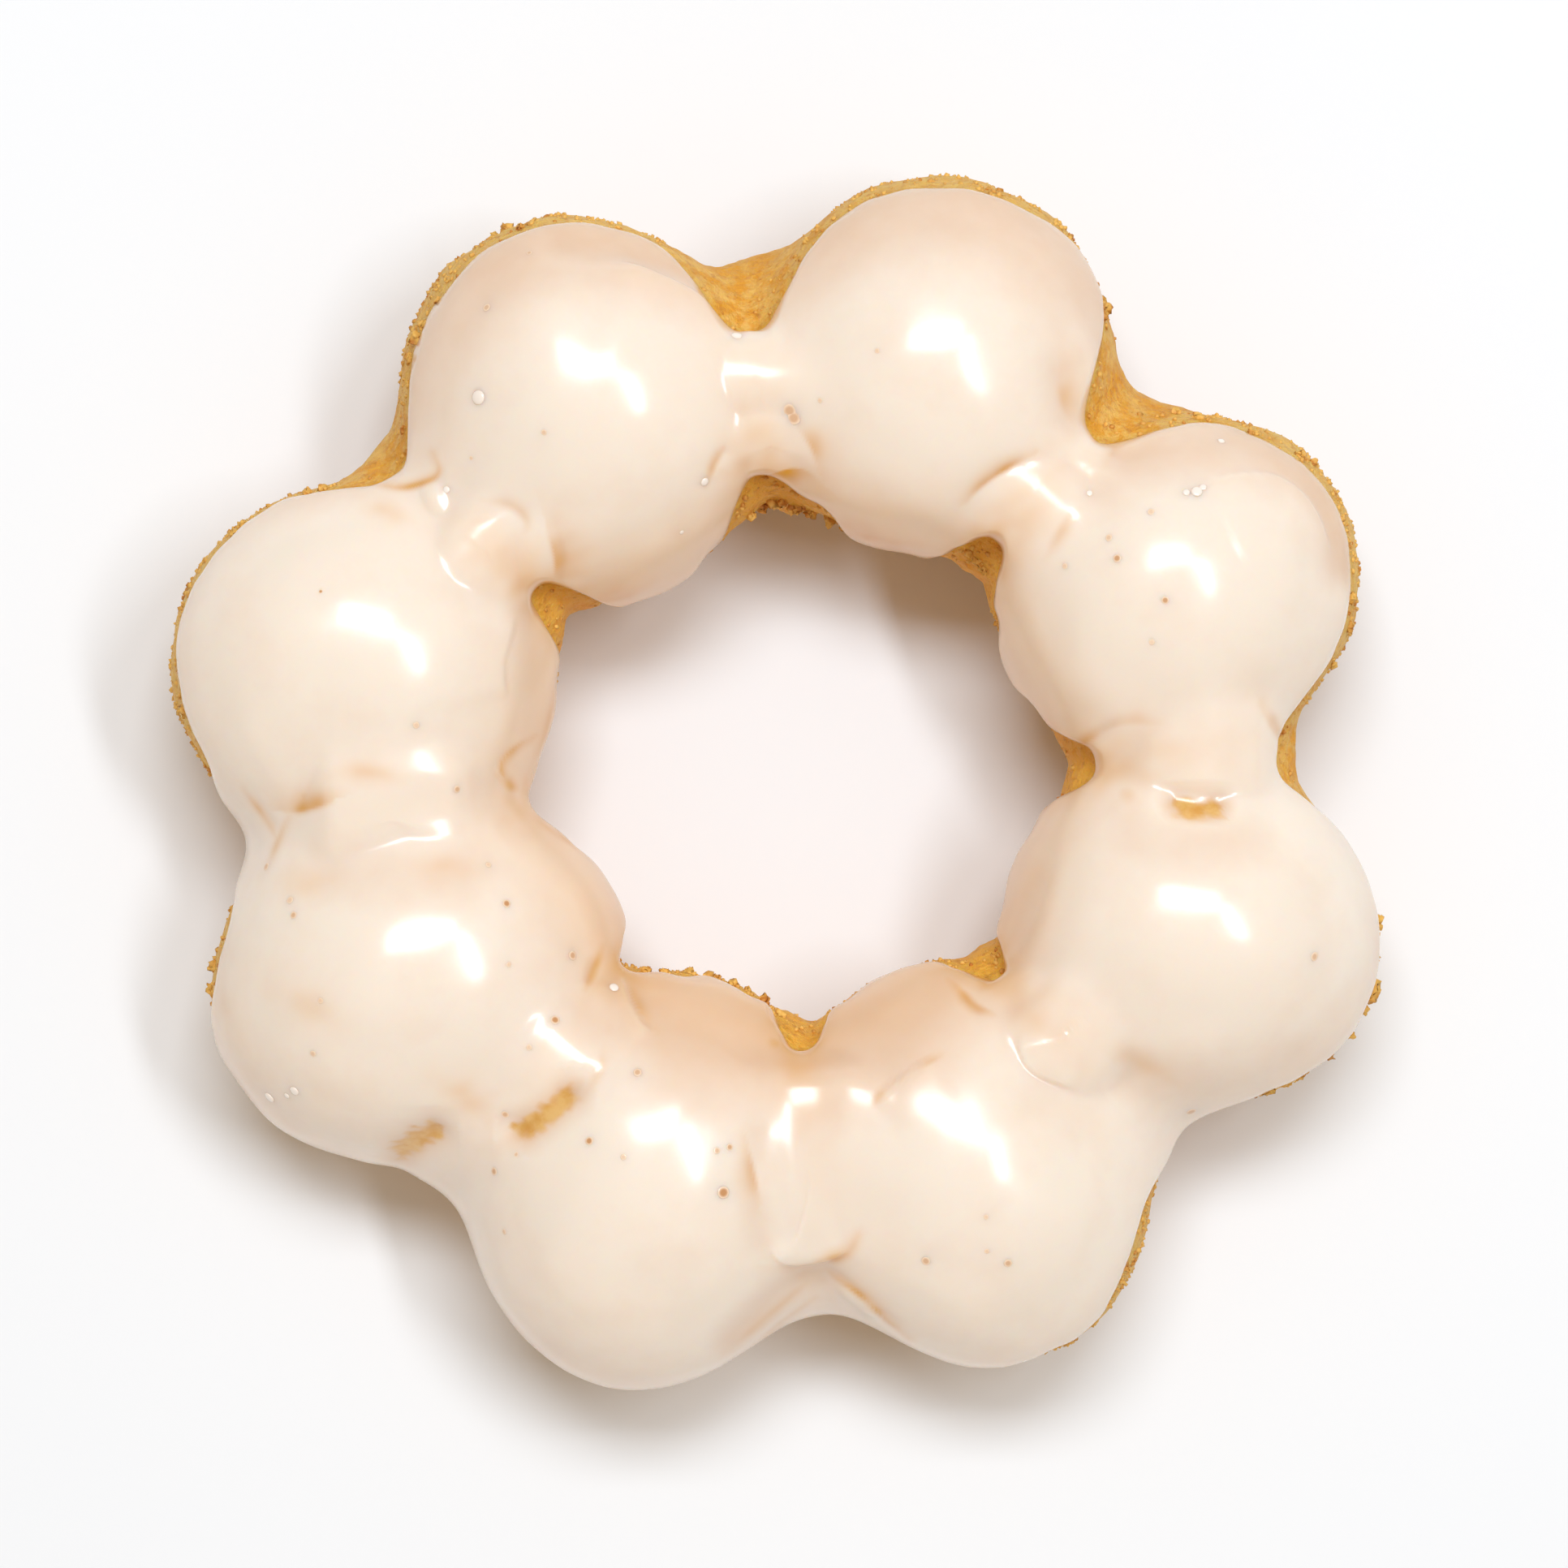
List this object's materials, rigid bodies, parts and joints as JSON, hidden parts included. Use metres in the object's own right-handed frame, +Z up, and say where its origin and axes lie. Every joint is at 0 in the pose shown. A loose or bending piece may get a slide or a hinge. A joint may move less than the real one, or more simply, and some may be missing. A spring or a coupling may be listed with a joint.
{
  "type": "mochi doughnut",
  "caption": "Ring of fused fried dough balls around an open hole, its upper side dipped in a glossy milky sugar glaze with uneven lower edges.",
  "frame": {"origin": "on the table under the middle of the ring", "axes": "+Z up out of the glazed side; +Y towards the top of the picture and +X towards its right"},
  "size_m": [0.09, 0.0904, 0.027],
  "materials": {
    "dough": "fried golden crust, slightly rough",
    "glaze": "milky sugar glaze, wet gloss"
  },
  "bodies": {
    "root": {"dough": "dough", "glaze": "glaze"}
  },
  "joints": []
}
